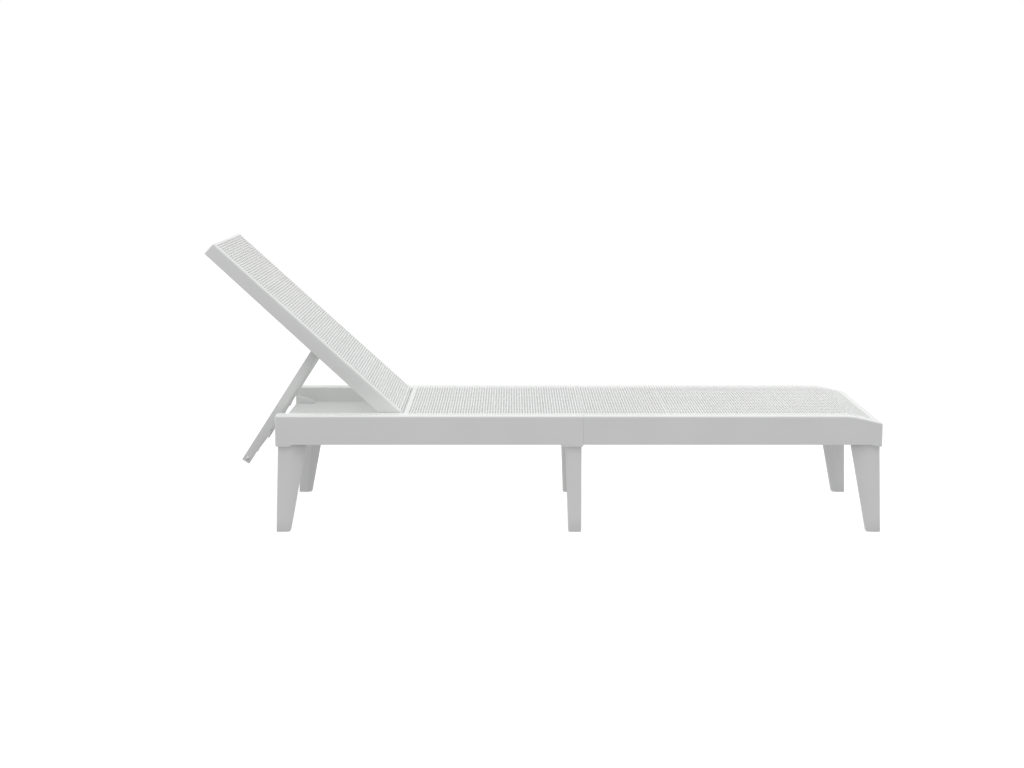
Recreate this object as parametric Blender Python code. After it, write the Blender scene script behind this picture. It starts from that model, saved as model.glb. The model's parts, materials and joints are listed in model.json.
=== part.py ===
"""Reclining sun lounger of moulded polypropylene.

A two-part moulded frame on six plug-in legs carries a fixed seat deck and a hinged backrest.
A U-shaped prop under the backrest stands on two brackets at the head end of the frame.

Units are metres.  +X runs towards the foot end, +Y to the lying person's left, +Z up.
The model is laid out from the head end of the frame, and then moved so that the origin
is at the bottom centre of the whole lounger with its backrest raised.
"""
import math

import bmesh
import bpy
from mathutils import Vector

# ---------------------------------------------------------------- overall sizes
FRAME_LENGTH = 1.55
FRAME_WIDTH = 0.58
DECK_HEIGHT = 0.298
APRON_DEPTH = 0.0703
WALL = 0.0035
GAP = 0.0003
CUT_BEYOND = 0.02

# ---------------------------------------------------------------- frame
BORDER_WIDTH = 0.055
SEAM_X = 0.787
RIB_DEPTH = 0.020
RIB_SPACING = 0.115
TOP_EDGE_RADIUS = 0.004
END_CORNER_RADIUS = 0.009
SHELF_DROP = 0.040
BEAD_WIDTH = 0.008
BEAD_HEIGHT = 0.003
FOOT_SLOPE = math.radians(13.5)
FOOT_CURVE_RADIUS = 0.19
FOOT_SLOPE_LENGTH = 0.056
LIP_DEPTH = 0.005
LIP_MARGIN = 0.009
FOOT_LIP_LENGTH = 0.049
BRACKET_LENGTH = 0.051
BRACKET_FALL = 0.0125
BRACKET_WIDTH = 0.018
BRACKET_LAND = 0.006
SCREW_RISE = 0.018
BOLT_DROP = 0.048
BOLT_MARGIN = 0.050

# ---------------------------------------------------------------- legs
LEG_INSET = 0.005
LEG_FLOOR = 0.006
TENON_HEIGHT = 0.030
LEG_SHOULDER = 0.0008
TENON_CHAMFER = 0.002
LEG_LEAST_CHAMFER = 0.0006
LEG_FLAT_TOP = 0.031
LEG_FLAT_FOOT = 0.020
CORNER_LEG_TOP = 0.0724
CORNER_LEG_FOOT = 0.0348
CORNER_LEG_TOP_INSET = 0.007
CORNER_LEG_FOOT_INSET = 0.0
MIDDLE_LEG_TOP = 0.0412
MIDDLE_LEG_FOOT = 0.0328
MIDDLE_LEG_CHAMFER = 0.008
LEG_DEPTH_TOP = 0.044
LEG_DEPTH_FOOT = 0.036

# ---------------------------------------------------------------- backrest
BACK_LENGTH = 0.640
HINGE_X = 0.300
HINGE_DROP = 0.010
HINGE_COVER = 0.0255
HINGE_END_GAP = 0.0015
HINGE_HEAD_ROOM = 0.001
BACK_CLEARANCE = 0.003
BACK_EDGE_RADIUS = 0.0024
SKIRT_AT_HINGE = 0.0454
SKIRT_AT_TIP = 0.0360
HOLLOW_TURN = -35
BACK_RIB_DEPTH = 0.014
BACK_RIB_COUNT = 5
BACK_RIB_ROWS = 3
TIE_ROOM = 0.055
CELLS_END = 0.004
RAISE_ANGLE = math.radians(42.4)

# ---------------------------------------------------------------- prop
PROP_REACH = 0.2661
PROP_ANGLE = math.radians(99.6)
PROP_LENGTH = 0.3606
PROP_SIDE_ROOM = 0.0235
PROP_TOP_ROOM = 0.003
ARM_DEPTH = 0.022
ARM_THICKNESS = 0.012
TOOTH_PITCH = 0.035
TOOTH_HEIGHT = 0.0025
TOOTH_LENGTH = 0.016
TOOTH_COUNT = 4
TIE_BAR_DEPTH = 0.020
TIE_BAR_THICKNESS = 0.016
EAR_THICKNESS = 0.005
EAR_RADIUS = 0.009
EAR_GAP = 0.0006

# ---------------------------------------------------------------- pins and fasteners
RUNNING_GAP = 0.0004
HINGE_PIN_RADIUS = 0.005
HINGE_PIN_HEAD_RADIUS = 0.008
HINGE_PIN_HEAD_HEIGHT = 0.003
HINGE_PIN_TAIL = 0.008
HINGE_PIN_POINT = 0.001
PIVOT_PIN_RADIUS = 0.004
PIVOT_PIN_HEAD_RADIUS = 0.0065
PIVOT_PIN_HEAD_HEIGHT = 0.002
PIVOT_PIN_TAIL = 0.003
SCREW_RADIUS = 0.002
SCREW_HEAD_RADIUS = 0.0045
SCREW_HEAD_HEIGHT = 0.0025
SCREW_LENGTH = 0.016
SCREW_POINT = 0.002
PROP_SCREW_EXTRA = 0.004
BOLT_RADIUS = 0.003
BOLT_HEAD_RADIUS = 0.0065
BOLT_HEAD_HEIGHT = 0.004
BOLT_TAIL = 0.006
NUT_THICKNESS = 0.004
NUT_RADIUS = 0.0068
ROUND_SIDES = 20

# ---------------------------------------------------------------- worked-out places
HALF_WIDTH = FRAME_WIDTH / 2
BAY_HALF = HALF_WIDTH - BORDER_WIDTH
RAIL_INSIDE = BAY_HALF + WALL
RAIL_OUTSIDE = HALF_WIDTH - WALL
APRON_BOTTOM = DECK_HEIGHT - APRON_DEPTH
SHELF_TOP = DECK_HEIGHT - SHELF_DROP
HINGE_Z = DECK_HEIGHT - HINGE_DROP
SEAT_START = HINGE_X + HINGE_COVER + HINGE_END_GAP
BACK_HALF = BAY_HALF - BACK_CLEARANCE
BACK_SKIN = HINGE_COVER - WALL
PROP_HALF_SPREAD = BACK_HALF - WALL - PROP_SIDE_ROOM
PROP_PIVOT_Z = BACK_SKIN - ARM_DEPTH / 2 - PROP_TOP_ROOM
BOLT_Z = DECK_HEIGHT - BOLT_DROP
SCREW_Z = APRON_BOTTOM + SCREW_RISE
CUT_LOW = APRON_BOTTOM - CUT_BEYOND
SIDES = {"right": -1, "left": 1}


def back_point(along, above):
    """World place (x, z) of a point of the raised backrest, measured from the hinge axis."""
    x = HINGE_X - along * math.cos(RAISE_ANGLE) + above * math.sin(RAISE_ANGLE)
    z = HINGE_Z + along * math.sin(RAISE_ANGLE) + above * math.cos(RAISE_ANGLE)
    return x, z


TIP_X = back_point(BACK_LENGTH, HINGE_COVER - SKIRT_AT_TIP)[0]
ORIGIN_X = (TIP_X + FRAME_LENGTH) / 2


# ---------------------------------------------------------------- materials
def plastic(name, colour, roughness, metallic=0.0):
    material = bpy.data.materials.new(name)
    material.use_nodes = True
    shader = material.node_tree.nodes["Principled BSDF"]
    shader.inputs["Base Color"].default_value = (*colour, 1.0)
    shader.inputs["Roughness"].default_value = roughness
    shader.inputs["Metallic"].default_value = metallic
    return material


# ---------------------------------------------------------------- mesh helpers
def add_object(name, bm, material=None, parent=None):
    """Put a finished bmesh in the scene as one object with outward faces."""
    bmesh.ops.recalc_face_normals(bm, faces=bm.faces)
    mesh = bpy.data.meshes.new(name)
    bm.to_mesh(mesh)
    bm.free()
    item = bpy.data.objects.new(name, mesh)
    bpy.context.scene.collection.objects.link(item)
    item.parent = parent
    if material is not None:
        mesh.materials.append(material)
    return item


def add_prism(bm, outline, low_y, high_y):
    """Add a closed prism with an (x, z) outline, standing between two y planes."""
    near = [bm.verts.new((x, low_y, z)) for x, z in outline]
    far = [bm.verts.new((x, high_y, z)) for x, z in outline]
    bm.faces.new(near)
    bm.faces.new(far)
    for i in range(len(outline)):
        j = (i + 1) % len(outline)
        bm.faces.new((near[i], near[j], far[j], far[i]))


def add_box(bm, x_range, y_range, z_range):
    """Add a closed box between three pairs of limits."""
    (x0, x1), (z0, z1) = x_range, z_range
    add_prism(bm, [(x0, z0), (x1, z0), (x1, z1), (x0, z1)], *sorted(y_range))


def add_turned(bm, stations, start, axis):
    """Add a closed round piece: stations are (distance, radius) along a unit axis."""
    axis = Vector(axis)
    side = axis.orthogonal().normalized()
    other = axis.cross(side)
    rings = []
    for distance, radius in stations:
        ring = []
        for k in range(ROUND_SIDES):
            turn = 2 * math.pi * k / ROUND_SIDES
            spoke = side * math.cos(turn) + other * math.sin(turn)
            ring.append(bm.verts.new(Vector(start) + axis * distance + spoke * radius))
        rings.append(ring)
    bm.faces.new(rings[0])
    bm.faces.new(rings[-1])
    for low, high in zip(rings, rings[1:]):
        for k in range(ROUND_SIDES):
            j = (k + 1) % ROUND_SIDES
            bm.faces.new((low[k], low[j], high[j], high[k]))


def arc(centre, radius, start, end, steps):
    """Points (x, z) of an arc; angles in degrees, from +X towards +Z."""
    points = []
    for k in range(steps + 1):
        turn = math.radians(start + (end - start) * k / steps)
        points.append((centre[0] + radius * math.cos(turn), centre[1] + radius * math.sin(turn)))
    return points


def combine(target, operation, bm, label):
    """Cut or join target with the closed shapes in a bmesh, as a live Boolean modifier."""
    tool = add_object(f"{target.name}_{label}", bm, parent=target.parent)
    tool.hide_render = True
    tool.display_type = "WIRE"
    modifier = target.modifiers.new(label, "BOOLEAN")
    modifier.operation = operation
    modifier.solver = "EXACT"
    modifier.object = tool


def smooth_round(item):
    """Shade a round piece smooth, with crisp ends."""
    item.data.shade_smooth()
    item.data.set_sharp_from_angle(angle=math.radians(40))


# ---------------------------------------------------------------- frame
def deck_height(x):
    """Height of the deck's top at x: level, then curving down to the foot end."""
    curve_end = FRAME_LENGTH - FOOT_SLOPE_LENGTH
    curve_start = curve_end - FOOT_CURVE_RADIUS * math.sin(FOOT_SLOPE)
    if x <= curve_start:
        return DECK_HEIGHT
    if x <= curve_end:
        run = x - curve_start
        return DECK_HEIGHT - FOOT_CURVE_RADIUS + math.sqrt(FOOT_CURVE_RADIUS ** 2 - run ** 2)
    curve_drop = FOOT_CURVE_RADIUS * (1 - math.cos(FOOT_SLOPE))
    return DECK_HEIGHT - curve_drop - (x - curve_end) * math.tan(FOOT_SLOPE)


def deck_line(x0, x1, below):
    """Points (x, z) along the deck's top from x0 to x1, lowered by some amount."""
    curve_end = FRAME_LENGTH - FOOT_SLOPE_LENGTH
    curve_start = curve_end - FOOT_CURVE_RADIUS * math.sin(FOOT_SLOPE)
    curve = [curve_start + (curve_end - curve_start) * k / 4 for k in range(5)]
    inner = [x for x in curve if x0 < x < x1]
    return [(x, deck_height(x) - below) for x in [x0, *inner, x1]]


def frame_block(x0, x1):
    """Solid block of one frame half, with rounded long top edges and end corners."""
    bm = bmesh.new()
    bottom = APRON_BOTTOM - LIP_DEPTH
    outline = [(x1, bottom), (x0, bottom), *deck_line(x0, x1, 0)]
    add_prism(bm, outline, -HALF_WIDTH, HALF_WIDTH)
    bm.edges.ensure_lookup_table()
    uprights = [e for e in bm.edges if is_outer_upright(e)]
    bmesh.ops.bevel(bm, geom=uprights, offset=END_CORNER_RADIUS, segments=4, affect="EDGES", profile=0.5)
    rims = [e for e in bm.edges if is_top_rim(e)]
    bmesh.ops.bevel(bm, geom=rims, offset=TOP_EDGE_RADIUS, segments=2, affect="EDGES", profile=0.5)
    return bm


def is_outer_upright(edge):
    """True for the vertical edges at the lounger's own two ends."""
    a, b = (v.co for v in edge.verts)
    upright = abs(a.x - b.x) < 1e-6 and abs(a.y - b.y) < 1e-6
    return upright and (a.x < 1e-6 or a.x > FRAME_LENGTH - 1e-6)


def is_top_rim(edge):
    """True for the edges where the deck's top meets the outer walls, not the seam."""
    a, b = (v.co for v in edge.verts)
    on_top = all(abs(p.z - deck_height(p.x)) < 1e-6 for p in (a, b))
    at_seam = all(abs(p.x - SEAM_X) < 0.001 for p in (a, b))
    across = abs(abs(a.y) - HALF_WIDTH) > 1e-6 and abs(a.x - b.x) < 1e-6
    at_end = min(a.x, b.x) < 1e-6 or max(a.x, b.x) > FRAME_LENGTH - 1e-6
    faces_side = any(abs(f.normal.z) < 0.2 for f in edge.link_faces)
    return on_top and not at_seam and (at_end or not across) and faces_side


def pocket_grid(bm, x0, x1, y0, y1):
    """Cells between the cross ribs and long ribs under a stretch of deck."""
    columns = max(1, round((x1 - x0) / RIB_SPACING))
    rows = max(1, round((y1 - y0) / RIB_SPACING))
    column = (x1 - x0 + WALL) / columns
    row = (y1 - y0 + WALL) / rows
    for i in range(columns):
        low = x0 + i * column
        high = low + column - WALL
        outline = [(high, CUT_LOW), (low, CUT_LOW)]
        outline += deck_line(low, high, WALL)
        for j in range(rows):
            near = y0 + j * row
            add_prism(bm, outline, near, near + row - WALL)


def under_space(bm, x0, x1):
    """Open space under the ribs between the two rails."""
    outline = [(x1, CUT_LOW), (x0, CUT_LOW)]
    outline += deck_line(x0, x1, WALL + RIB_DEPTH)
    add_prism(bm, outline, -BAY_HALF, BAY_HALF)


def rail_channels(bm, x0, x1):
    """Hollow inside both rails, open below, over one stretch."""
    outline = [(x1, CUT_LOW), (x0, CUT_LOW), *deck_line(x0, x1, WALL)]
    for side in SIDES.values():
        add_prism(bm, outline, *sorted((side * RAIL_INSIDE, side * RAIL_OUTSIDE)))


def leg_places():
    """Each row of legs, with the x limits of its legs where they meet the frame."""
    middle_end = SEAM_X - WALL - GAP - LEG_SHOULDER
    foot_end = FRAME_LENGTH - CORNER_LEG_TOP_INSET
    return {
        "head": (CORNER_LEG_TOP_INSET, CORNER_LEG_TOP_INSET + CORNER_LEG_TOP),
        "middle": (middle_end - MIDDLE_LEG_TOP, middle_end),
        "foot": (foot_end - CORNER_LEG_TOP, foot_end),
    }


def trim_between_lips(half, x0, x1):
    """Raise the apron's lower edge over one stretch, which leaves the collars at the legs."""
    away = bmesh.new()
    add_box(away, (x0, x1), (-FRAME_WIDTH, FRAME_WIDTH), (CUT_LOW, APRON_BOTTOM))
    combine(half, "DIFFERENCE", away, "apron_edge")


def round_holes(bm, places, axis, radius, length):
    """Round cutters centred on their places."""
    for place in places:
        start = Vector(place) - Vector(axis) * length / 2
        add_turned(bm, [(0, radius), (length, radius)], start, axis)


def bolt_places():
    """The four frame bolts: y of each, evenly spread."""
    outermost = BAY_HALF - BOLT_MARGIN
    return [outermost * step / 3 for step in (-3, -1, 1, 3)]


def screw_places():
    """Leg screws: name, x and side sign."""
    return [
        (f"{row}_{side}", (span[0] + span[1]) / 2, sign)
        for row, span in leg_places().items()
        for side, sign in SIDES.items()
    ]


def bracket_top():
    """Height of the brackets at the head end: just under the arm that stands on them."""
    pivot_x, pivot_z = back_point(PROP_REACH, PROP_PIVOT_Z)
    lean = PROP_ANGLE - RAISE_ANGLE
    edge_x = pivot_x + ARM_DEPTH / 2 * math.sin(lean)
    edge_z = pivot_z - ARM_DEPTH / 2 * math.cos(lean)
    return edge_z - edge_x * math.tan(lean) - 2 * GAP


def contact_distance():
    """Distance along the prop from its pivot to the tooth that stands on the brackets."""
    pivot_x = back_point(PROP_REACH, PROP_PIVOT_Z)[0]
    lean = PROP_ANGLE - RAISE_ANGLE
    edge_crossing = (pivot_x + ARM_DEPTH / 2 * math.sin(lean)) / math.cos(lean)
    return edge_crossing - TOOTH_HEIGHT / math.tan(lean)


def make_head_half(material, parent):
    half = add_object("frame_head_half", frame_block(0, SEAM_X), material, parent)
    legs = leg_places()
    trim_between_lips(half, CORNER_LEG_FOOT + CORNER_LEG_FOOT_INSET, legs["middle"][0] - LIP_MARGIN)

    bay = bmesh.new()
    above = DECK_HEIGHT + CUT_BEYOND
    add_box(bay, (-CUT_BEYOND, SEAT_START), (-BAY_HALF, BAY_HALF), (SHELF_TOP, above))
    combine(half, "DIFFERENCE", bay, "bay")

    seat_in = SEAT_START + WALL
    below = bmesh.new()
    add_box(below, (WALL, SEAT_START), (-BAY_HALF, BAY_HALF), (CUT_LOW, SHELF_TOP - WALL))
    under_space(below, seat_in, SEAM_X - WALL)
    combine(half, "DIFFERENCE", below, "underside")
    cells = bmesh.new()
    pocket_grid(cells, seat_in, SEAM_X - WALL, -BAY_HALF, BAY_HALF)
    combine(half, "DIFFERENCE", cells, "rib_cells")

    channels = bmesh.new()
    room = LEG_SHOULDER + GAP
    socket_ends = (legs["head"][1] + room, legs["middle"][0] - room)
    rail_channels(channels, WALL, socket_ends[0])
    rail_channels(channels, socket_ends[0] + WALL, socket_ends[1] - WALL)
    rail_channels(channels, socket_ends[1], SEAM_X - WALL)
    combine(half, "DIFFERENCE", channels, "rails")

    extras = bmesh.new()
    top = bracket_top()
    outline = [(0, SHELF_TOP - WALL / 2), (BRACKET_LENGTH, SHELF_TOP - WALL / 2)]
    outline += [(BRACKET_LENGTH, top - BRACKET_FALL), (BRACKET_LAND, top), (0, top)]
    for side in SIDES.values():
        middle = side * PROP_HALF_SPREAD
        add_prism(extras, outline, middle - BRACKET_WIDTH / 2, middle + BRACKET_WIDTH / 2)
    buried = DECK_HEIGHT - WALL / 2
    bead = [(SEAT_START, buried), (SEAT_START + BEAD_WIDTH, buried)]
    flatten = BEAD_HEIGHT / (BEAD_WIDTH / 2)
    crown = arc((SEAT_START + BEAD_WIDTH / 2, 0), BEAD_WIDTH / 2, 0, 180, 6)
    bead += [(x, DECK_HEIGHT + z * flatten) for x, z in crown]
    add_prism(extras, bead, -BAY_HALF, BAY_HALF)
    combine(half, "UNION", extras, "brackets")

    holes = bmesh.new()
    pins = [(HINGE_X, side * (BAY_HALF + WALL / 2), HINGE_Z) for side in SIDES.values()]
    round_holes(holes, pins, (0, 1, 0), HINGE_PIN_RADIUS + RUNNING_GAP, 4 * WALL)
    screws = [(x, sign * (BAY_HALF + WALL / 2), SCREW_Z) for _, x, sign in screw_places() if x < SEAM_X]
    round_holes(holes, screws, (0, 1, 0), SCREW_RADIUS + GAP, 3 * WALL)
    bolts = [(SEAM_X - WALL / 2, y, BOLT_Z) for y in bolt_places()]
    round_holes(holes, bolts, (1, 0, 0), BOLT_RADIUS + GAP, 3 * WALL)
    combine(half, "DIFFERENCE", holes, "holes")
    return half


def make_foot_half(material, parent):
    start = SEAM_X + GAP
    half = add_object("frame_foot_half", frame_block(start, FRAME_LENGTH), material, parent)
    legs = leg_places()
    trim_between_lips(half, start - WALL, FRAME_LENGTH - FOOT_LIP_LENGTH)

    inside = (start + WALL, FRAME_LENGTH - WALL)
    below = bmesh.new()
    under_space(below, *inside)
    combine(half, "DIFFERENCE", below, "underside")
    cells = bmesh.new()
    pocket_grid(cells, *inside, -BAY_HALF, BAY_HALF)
    combine(half, "DIFFERENCE", cells, "rib_cells")

    channels = bmesh.new()
    socket_start = legs["foot"][0] - LEG_SHOULDER - GAP
    rail_channels(channels, inside[0], socket_start - WALL)
    rail_channels(channels, socket_start, inside[1])
    combine(half, "DIFFERENCE", channels, "rails")

    holes = bmesh.new()
    screws = [(x, sign * (BAY_HALF + WALL / 2), SCREW_Z) for _, x, sign in screw_places() if x > SEAM_X]
    round_holes(holes, screws, (0, 1, 0), SCREW_RADIUS + GAP, 3 * WALL)
    bolts = [(start + WALL / 2, y, BOLT_Z) for y in bolt_places()]
    round_holes(holes, bolts, (1, 0, 0), BOLT_RADIUS + GAP, 3 * WALL)
    combine(half, "DIFFERENCE", holes, "holes")
    return half


# ---------------------------------------------------------------- legs
def leg_section(x_range, depth_range, chamfer, inner_end):
    """Plan outline of a leg: square outside, chamfered on the inner end and inner side."""
    x0, x1 = x_range
    outer, inner = depth_range
    points = [(x0, outer), (x1 - chamfer, outer), (x1, outer - chamfer * 0.35)]
    points += [(x1, inner + chamfer * 0.65), (x1 - chamfer * 0.8, inner), (x0, inner)]
    if inner_end < 0:
        points = [(x0 + x1 - x, y) for x, y in points]
    return points


def leg_shell(bm, outer_rings, inner_rings):
    """Closed cup: an outer and an inner stack of rings, joined by a rim at the top."""
    def stack(rings):
        loops = [[bm.verts.new(point) for point in ring] for ring in rings]
        for low, high in zip(loops, loops[1:]):
            for k in range(len(low)):
                j = (k + 1) % len(low)
                bm.faces.new((low[k], low[j], high[j], high[k]))
        return loops

    outside = stack(outer_rings)
    inside = stack(inner_rings)
    bm.faces.new(outside[0])
    bm.faces.new(inside[0])
    for k in range(len(outside[-1])):
        j = (k + 1) % len(outside[-1])
        bm.faces.new((outside[-1][k], outside[-1][j], inside[-1][j], inside[-1][k]))


def make_leg(row, side, material, parent):
    sign = SIDES[side]
    x_top = leg_places()[row]
    outer_top = HALF_WIDTH - LEG_INSET
    depth_top = (sign * outer_top, sign * (outer_top - LEG_DEPTH_TOP))
    depth_foot = (sign * outer_top, sign * (outer_top - LEG_DEPTH_FOOT))
    if row == "middle":
        x_foot = (x_top[1] - MIDDLE_LEG_FOOT, x_top[1])
        inner_end = -1
        chamfers = (MIDDLE_LEG_CHAMFER, MIDDLE_LEG_CHAMFER)
    elif row == "head":
        x_foot = (CORNER_LEG_FOOT_INSET, CORNER_LEG_FOOT_INSET + CORNER_LEG_FOOT)
        inner_end = 1
        chamfers = (CORNER_LEG_FOOT - LEG_FLAT_FOOT, CORNER_LEG_TOP - LEG_FLAT_TOP)
    else:
        foot_end = FRAME_LENGTH - CORNER_LEG_FOOT_INSET
        x_foot = (foot_end - CORNER_LEG_FOOT, foot_end)
        inner_end = -1
        chamfers = (CORNER_LEG_FOOT - LEG_FLAT_FOOT, CORNER_LEG_TOP - LEG_FLAT_TOP)

    tenon_depth = (sign * (RAIL_OUTSIDE - GAP), sign * (RAIL_INSIDE + GAP))
    flip = -1 if sign < 0 else 1
    top_z = APRON_BOTTOM + TENON_HEIGHT

    def ring(x_range, depth, chamfer, z, wall=0.0):
        x_in = (x_range[0] + wall, x_range[1] - wall)
        outer, inner = depth[0] - flip * wall, depth[1] + flip * wall
        cut = max(chamfer - wall * 0.6, LEG_LEAST_CHAMFER)
        section = leg_section(x_in, (outer * flip, inner * flip), cut, inner_end)
        return [(x, y * flip, z) for x, y in section]

    bm = bmesh.new()
    x_tenon = (x_top[0] - LEG_SHOULDER, x_top[1] + LEG_SHOULDER)
    outside = [
        ring(x_foot, depth_foot, chamfers[0], 0.0),
        ring(x_top, depth_top, chamfers[1], APRON_BOTTOM),
        ring(x_tenon, tenon_depth, TENON_CHAMFER, APRON_BOTTOM),
        ring(x_tenon, tenon_depth, TENON_CHAMFER, top_z),
    ]
    inside = [
        ring(x_foot, depth_foot, chamfers[0], LEG_FLOOR, WALL),
        ring(x_top, depth_top, chamfers[1], APRON_BOTTOM, WALL),
        ring(x_top, depth_top, chamfers[1], top_z, WALL),
    ]
    leg_shell(bm, outside, inside)
    leg = add_object(f"leg_{row}_{side}", bm, material, parent)
    holes = bmesh.new()
    middle = (x_top[0] + x_top[1]) / 2
    place = (middle, sign * (RAIL_INSIDE + GAP + WALL / 2), SCREW_Z)
    round_holes(holes, [place], (0, 1, 0), SCREW_RADIUS + GAP, 6 * WALL)
    combine(leg, "DIFFERENCE", holes, "screw_hole")
    return leg


# ---------------------------------------------------------------- backrest
def skirt_depth(along):
    """Depth of the backrest's side skirt at a distance from the hinge axis."""
    return SKIRT_AT_HINGE + (SKIRT_AT_TIP - SKIRT_AT_HINGE) * along / BACK_LENGTH


def back_outline():
    """Side outline (x, z) of the backrest lying flat, round its hinge axis."""
    bottom_turn = -math.degrees(math.asin((skirt_depth(0) - HINGE_COVER) / HINGE_COVER))
    tip_bottom = HINGE_COVER - SKIRT_AT_TIP
    points = [(-BACK_LENGTH, tip_bottom)]
    points += arc((0, 0), HINGE_COVER, bottom_turn, 90, 14)
    points.append((-BACK_LENGTH, HINGE_COVER))
    return points


def make_backrest(material, parent):
    bm = bmesh.new()
    add_prism(bm, back_outline(), -BACK_HALF, BACK_HALF)
    rims = []
    for edge in bm.edges:
        a, b = (v.co for v in edge.verts)
        level = abs(a.z - HINGE_COVER) < 1e-6 and abs(b.z - HINGE_COVER) < 1e-6
        along_side = abs(a.y - b.y) < 1e-6
        at_tip = a.x < 1e-6 - BACK_LENGTH and b.x < 1e-6 - BACK_LENGTH
        if level and (along_side or at_tip):
            rims.append(edge)
    bmesh.ops.bevel(bm, geom=rims, offset=BACK_EDGE_RADIUS, segments=2, affect="EDGES", profile=0.5)
    panel = add_object("backrest_panel", bm, material, parent)

    inner_half = BACK_HALF - WALL
    central_half = PROP_HALF_SPREAD - BRACKET_WIDTH
    low = HINGE_COVER - SKIRT_AT_HINGE - CUT_BEYOND
    tip_inside = WALL - BACK_LENGTH

    shallow = bmesh.new()
    rib_foot = BACK_SKIN - BACK_RIB_DEPTH
    outline = [(tip_inside, low), (BACK_SKIN * math.cos(math.radians(HOLLOW_TURN)), low)]
    nose_foot = HINGE_PIN_HEAD_RADIUS + HINGE_HEAD_ROOM
    outline += arc((0, 0), BACK_SKIN, HOLLOW_TURN, math.degrees(math.asin(nose_foot / BACK_SKIN)), 8)
    step = -CELLS_END / 2
    outline += [(step, nose_foot), (step, rib_foot), (tip_inside, rib_foot)]
    add_prism(shallow, outline, -inner_half, inner_half)
    combine(panel, "DIFFERENCE", shallow, "hollow")

    deep = bmesh.new()
    for sign in SIDES.values():
        sides = (sign * central_half, sign * inner_half)
        add_box(deep, (tip_inside, 0), sides, (low, BACK_SKIN))
    combine(panel, "DIFFERENCE", deep, "prop_room")

    cells = bmesh.new()
    tie_end = tip_inside + TIE_ROOM
    tie_half = central_half + PROP_SIDE_ROOM / 4
    add_box(cells, (tip_inside, tie_end), (-tie_half, tie_half), (low, BACK_SKIN))
    cell_start = tie_end + WALL
    column = (WALL - CELLS_END - cell_start) / BACK_RIB_COUNT
    row = (2 * central_half + WALL) / BACK_RIB_ROWS
    for i in range(BACK_RIB_COUNT):
        for j in range(BACK_RIB_ROWS):
            x0 = cell_start + i * column
            y0 = j * row - central_half
            add_box(cells, (x0, x0 + column - WALL), (y0, y0 + row - WALL), (low, BACK_SKIN))
    combine(panel, "DIFFERENCE", cells, "rib_cells")

    ears = bmesh.new()
    buried = BACK_SKIN + WALL / 2
    outline = arc((-PROP_REACH, PROP_PIVOT_Z), EAR_RADIUS, 180, 360, 8)
    outline += [(EAR_RADIUS - PROP_REACH, buried), (-EAR_RADIUS - PROP_REACH, buried)]
    ear_offset = (ARM_THICKNESS + EAR_THICKNESS) / 2 + EAR_GAP
    for sign in SIDES.values():
        for offset in (-ear_offset, ear_offset):
            middle = sign * PROP_HALF_SPREAD + offset
            add_prism(ears, outline, middle - EAR_THICKNESS / 2, middle + EAR_THICKNESS / 2)
    combine(panel, "UNION", ears, "ears")

    holes = bmesh.new()
    pivots = [(-PROP_REACH, sign * PROP_HALF_SPREAD, PROP_PIVOT_Z) for sign in SIDES.values()]
    span = ARM_THICKNESS + 3 * EAR_THICKNESS
    round_holes(holes, pivots, (0, 1, 0), PIVOT_PIN_RADIUS + GAP, span)
    hinges = [(0, sign * (BACK_HALF - WALL / 2), 0) for sign in SIDES.values()]
    round_holes(holes, hinges, (0, 1, 0), HINGE_PIN_RADIUS + GAP, 4 * WALL)
    combine(panel, "DIFFERENCE", holes, "holes")
    return panel


# ---------------------------------------------------------------- prop
def arm_outline():
    """Side outline (x, z) of a prop arm folded flat, from its pivot towards -X."""
    half = ARM_DEPTH / 2
    points = arc((0, 0), half, 90, -90, 10)
    contact = contact_distance()
    for k in range(TOOTH_COUNT):
        face = contact + k * TOOTH_PITCH
        if face < PROP_LENGTH - TOOTH_LENGTH:
            points += [(TOOTH_LENGTH - face, -half), (-face, -half - TOOTH_HEIGHT), (-face, -half)]
    points += [(-PROP_LENGTH, -half), (-PROP_LENGTH, half)]
    return points


def make_prop(plastic_material, steel, parent):
    for side, sign in SIDES.items():
        bm = bmesh.new()
        middle = sign * PROP_HALF_SPREAD
        add_prism(bm, arm_outline(), middle - ARM_THICKNESS / 2, middle + ARM_THICKNESS / 2)
        arm = add_object(f"prop_arm_{side}", bm, plastic_material, parent)
        holes = bmesh.new()
        round_holes(holes, [(0, middle, 0)], (0, 1, 0), PIVOT_PIN_RADIUS + RUNNING_GAP, 2 * ARM_THICKNESS)
        tie_x = TIE_BAR_DEPTH / 2 + GAP - PROP_LENGTH
        round_holes(holes, [(tie_x, middle, 0)], (0, 1, 0), SCREW_RADIUS + GAP, 2 * ARM_THICKNESS)
        combine(arm, "DIFFERENCE", holes, "holes")

        screw = bmesh.new()
        start = (tie_x, sign * (PROP_HALF_SPREAD + ARM_THICKNESS / 2 + GAP + SCREW_HEAD_HEIGHT), 0)
        stations = screw_stations(SCREW_LENGTH + PROP_SCREW_EXTRA)
        add_turned(screw, stations, start, (0, -sign, 0))
        smooth_round(add_object(f"prop_screw_{side}", screw, steel, parent))

    bar = bmesh.new()
    reach = PROP_HALF_SPREAD - ARM_THICKNESS / 2 - GAP
    low_x = GAP - PROP_LENGTH
    half = TIE_BAR_THICKNESS / 2
    add_box(bar, (low_x, low_x + TIE_BAR_DEPTH), (-reach, reach), (-half, half))
    tie = add_object("prop_tie_bar", bar, plastic_material, parent)
    holes = bmesh.new()
    ends = [(low_x + TIE_BAR_DEPTH / 2, sign * reach, 0) for sign in SIDES.values()]
    round_holes(holes, ends, (0, 1, 0), SCREW_RADIUS + GAP, 2 * SCREW_LENGTH)
    combine(tie, "DIFFERENCE", holes, "holes")


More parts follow.
